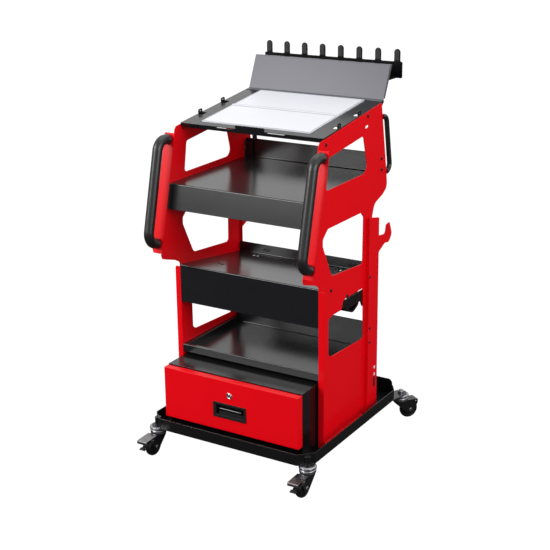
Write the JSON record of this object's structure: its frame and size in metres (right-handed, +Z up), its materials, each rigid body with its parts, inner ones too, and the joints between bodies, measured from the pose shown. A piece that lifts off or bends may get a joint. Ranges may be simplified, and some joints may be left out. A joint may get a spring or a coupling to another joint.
{
  "type": "mobile workshop trolley",
  "caption": "Castered workshop trolley with folded side panels, open shelves, a lockable drawer, a sloping display tray, a back board with a hook comb and push handles.",
  "frame": {"origin": "centre of the trolley's bounding box in plan, on the floor under the wheels", "axes": "+Z up, -Y towards the drawer front, X across the trolley"},
  "size_m": [0.643, 0.7315, 1.198],
  "materials": {
    "red_paint": "gloss red powder coat",
    "black_paint": "satin black powder coat",
    "grey_paint": "satin dark grey powder coat",
    "steel_sheet": "zinc-plated sheet",
    "handle_tube": "black painted tube",
    "grip_foam": "smooth soft rubber",
    "black_plastic": "fine textured plastic",
    "pad_rubber": "matt rubber",
    "white_panel": "smooth white plastic",
    "bolt_black": "black oxide",
    "zinc": "bright zinc plate",
    "lock_chrome": "polished",
    "caster_plastic": "black nylon",
    "tyre_rubber": "smooth tread",
    "hub_plastic": "glossy nylon",
    "pedal_steel": "black coated pressed steel"
  },
  "bodies": {
    "trolley": {"side_panel_left": "red_paint", "side_panel_right": "red_paint", "rear_post_left": "red_paint", "rear_post_right": "red_paint", "base_frame": "black_paint", "drawer_cabinet": "black_paint", "back_board": "black_paint", "hook_comb": "black_paint", "top_tray": "black_paint", "tool_cup": "black_paint", "upper_shelf": "grey_paint", "middle_shelf": "grey_paint", "lower_tray": "grey_paint", "slide_outer_left": "steel_sheet", "slide_outer_right": "steel_sheet", "handle_core_left": "handle_tube", "handle_core_right": "handle_tube", "handle_grip_left": "grip_foam", "handle_grip_right": "grip_foam", "rear_handle_left": "black_plastic", "rear_handle_right": "black_plastic", "comb_pads": "pad_rubber", "display_panels": "white_panel", "panel_divider": "white_panel", "panel_bolts": "bolt_black", "frame_bolts": "bolt_black", "caster_stems": "zinc"},
    "drawer": {"drawer_front": "red_paint", "drawer_front_liner": "steel_sheet", "drawer_box": "steel_sheet", "recess_pull": "black_plastic", "lock_collar": "lock_chrome", "slide_inner_left": "steel_sheet", "slide_inner_right": "steel_sheet"},
    "runner_left": {"slide_middle_left": "steel_sheet"},
    "runner_right": {"slide_middle_right": "steel_sheet"},
    "lock_barrel": {"lock_plug": "lock_chrome", "lock_cam": "lock_chrome"},
    "swivel_front_left": {"fork_front_left": "caster_plastic", "swivel_race_front_left": "zinc", "axle_front_left": "zinc"},
    "wheel_front_left": {"tyre_front_left": "tyre_rubber", "wheel_hub_front_left": "hub_plastic"},
    "swivel_front_right": {"fork_front_right": "caster_plastic", "swivel_race_front_right": "zinc", "axle_front_right": "zinc"},
    "wheel_front_right": {"tyre_front_right": "tyre_rubber", "wheel_hub_front_right": "hub_plastic"},
    "swivel_rear_left": {"fork_rear_left": "caster_plastic", "swivel_race_rear_left": "zinc", "axle_rear_left": "zinc"},
    "wheel_rear_left": {"tyre_rear_left": "tyre_rubber", "wheel_hub_rear_left": "hub_plastic"},
    "swivel_rear_right": {"fork_rear_right": "caster_plastic", "swivel_race_rear_right": "zinc", "axle_rear_right": "zinc"},
    "wheel_rear_right": {"tyre_rear_right": "tyre_rubber", "wheel_hub_rear_right": "hub_plastic"},
    "brake_front_left": {"brake_pedal_front_left": "pedal_steel"},
    "brake_front_right": {"brake_pedal_front_right": "pedal_steel"}
  },
  "joints": [
    {"name": "drawer_slide", "type": "slide", "parent": "trolley", "child": "drawer", "axis": [0, -1, 0], "range_m": [0, 0.3]},
    {"name": "runner_left_slide", "type": "slide", "parent": "trolley", "child": "runner_left", "axis": [0, -1, 0], "range_m": [0, 0.15]},
    {"name": "runner_right_slide", "type": "slide", "parent": "trolley", "child": "runner_right", "axis": [0, -1, 0], "range_m": [0, 0.15]},
    {"name": "lock_turn", "type": "hinge", "parent": "drawer", "child": "lock_barrel", "pos_m": [0, -0.2788, 0.2437], "axis": [0, -1, 0], "range_deg": [0, 90]},
    {"name": "swivel_front_left", "type": "hinge", "parent": "trolley", "child": "swivel_front_left", "pos_m": [-0.266, -0.2793, 0.072], "axis": [0, 0, 1], "continuous": true},
    {"name": "roll_front_left", "type": "hinge", "parent": "swivel_front_left", "child": "wheel_front_left", "pos_m": [-0.266, -0.3093, 0.031], "axis": [1, 0, 0], "continuous": true},
    {"name": "swivel_front_right", "type": "hinge", "parent": "trolley", "child": "swivel_front_right", "pos_m": [0.266, -0.2793, 0.072], "axis": [0, 0, 1], "continuous": true},
    {"name": "roll_front_right", "type": "hinge", "parent": "swivel_front_right", "child": "wheel_front_right", "pos_m": [0.266, -0.3093, 0.031], "axis": [1, 0, 0], "continuous": true},
    {"name": "swivel_rear_left", "type": "hinge", "parent": "trolley", "child": "swivel_rear_left", "pos_m": [-0.277, 0.3097, 0.072], "axis": [0, 0, 1], "continuous": true},
    {"name": "roll_rear_left", "type": "hinge", "parent": "swivel_rear_left", "child": "wheel_rear_left", "pos_m": [-0.29364, 0.33466, 0.031], "axis": [-0.832, -0.5548, 0], "continuous": true},
    {"name": "swivel_rear_right", "type": "hinge", "parent": "trolley", "child": "swivel_rear_right", "pos_m": [0.277, 0.3097, 0.072], "axis": [0, 0, 1], "continuous": true},
    {"name": "roll_rear_right", "type": "hinge", "parent": "swivel_rear_right", "child": "wheel_rear_right", "pos_m": [0.29364, 0.33466, 0.031], "axis": [-0.832, 0.5548, 0], "continuous": true},
    {"name": "brake_front_left", "type": "hinge", "parent": "swivel_front_left", "child": "brake_front_left", "pos_m": [-0.266, -0.3293, 0.059], "axis": [1, 0, 0], "range_deg": [0, 10]},
    {"name": "brake_front_right", "type": "hinge", "parent": "swivel_front_right", "child": "brake_front_right", "pos_m": [0.266, -0.3293, 0.059], "axis": [1, 0, 0], "range_deg": [0, 10]}
  ],
  "couplings": [
    {"joint": "runner_left_slide", "follows": "drawer_slide", "ratio": 0.5},
    {"joint": "runner_right_slide", "follows": "drawer_slide", "ratio": 0.5}
  ]
}
